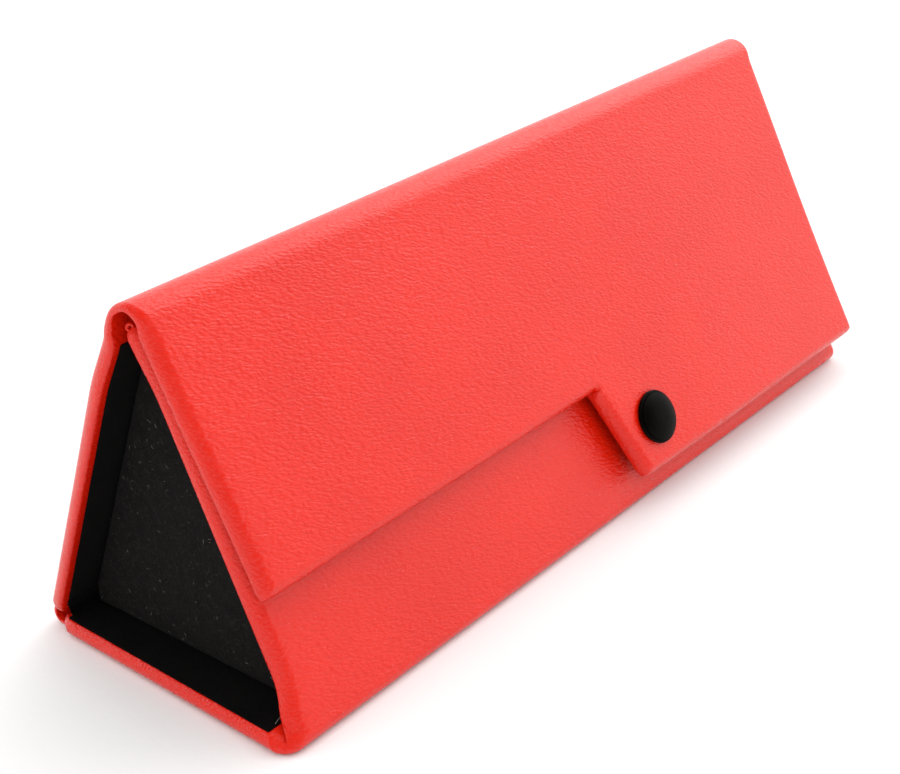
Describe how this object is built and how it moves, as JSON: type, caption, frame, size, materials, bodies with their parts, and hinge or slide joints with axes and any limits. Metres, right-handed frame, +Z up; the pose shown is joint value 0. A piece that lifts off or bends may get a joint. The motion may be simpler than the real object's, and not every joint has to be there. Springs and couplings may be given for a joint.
{
  "type": "eyeglasses case",
  "caption": "Triangular folding case for eyeglasses: leather-covered walls, stepped flap with a press stud, felt end panels.",
  "frame": {"origin": "centre of the bottom wall's underside, which the case rests on", "axes": "+X along the case from the left end to the right end, -Y towards the front wall and its flap, +Z up"},
  "size_m": [0.165, 0.0628, 0.0659],
  "materials": {
    "red_leather": "fine pebble grain, satin",
    "black_lining": "velvet",
    "black_felt": "brushed felt",
    "grey_board": "bare cardboard",
    "black_stud": "gloss lacquer",
    "spring_steel": "drawn wire"
  },
  "bodies": {
    "base": {"bottom_cover": "red_leather", "bottom_board": "grey_board", "bottom_lining": "black_lining", "front_hinge_strip": "red_leather", "back_hinge_strip": "red_leather", "left_end_tab": "black_felt", "right_end_tab": "black_felt"},
    "back": {"back_cover": "red_leather", "back_board": "grey_board", "back_lining": "black_lining", "top_hinge_strip": "red_leather"},
    "flap": {"flap_cover": "red_leather", "flap_board": "grey_board", "flap_lining": "black_lining", "snap_cap": "black_stud", "snap_socket": "black_stud", "snap_spring": "spring_steel"},
    "front": {"front_cover": "red_leather", "front_board": "grey_board", "front_lining": "black_lining", "snap_stud": "black_stud", "snap_post": "black_stud"},
    "left_end": {"left_end_board": "grey_board", "left_end_facing": "black_felt", "left_end_backing": "black_felt"},
    "right_end": {"right_end_board": "grey_board", "right_end_facing": "black_felt", "right_end_backing": "black_felt"}
  },
  "joints": [
    {"name": "flap_hinge", "type": "hinge", "parent": "back", "child": "flap", "pos_m": [0, -0.00191, 0.06714], "axis": [-1, 0, 0], "range_deg": [0, 240]},
    {"name": "back_hinge", "type": "hinge", "parent": "base", "child": "back", "pos_m": [0, 0.02794, 0.002], "axis": [-1, 0, 0], "range_deg": [0, 6]},
    {"name": "front_hinge", "type": "hinge", "parent": "base", "child": "front", "pos_m": [0, -0.02794, 0.002], "axis": [1, 0, 0], "range_deg": [0, 20]},
    {"name": "left_end_hinge", "type": "hinge", "parent": "base", "child": "left_end", "pos_m": [-0.0764, 0, 0.00405], "axis": [0, 1, 0], "range_deg": [0, 90]},
    {"name": "right_end_hinge", "type": "hinge", "parent": "base", "child": "right_end", "pos_m": [0.0764, 0, 0.00405], "axis": [0, -1, 0], "range_deg": [0, 90]}
  ],
  "couplings": [
    {"joint": "front_hinge", "follows": "flap_hinge", "ratio": 0.08333},
    {"joint": "back_hinge", "follows": "flap_hinge", "ratio": 0.025}
  ]
}
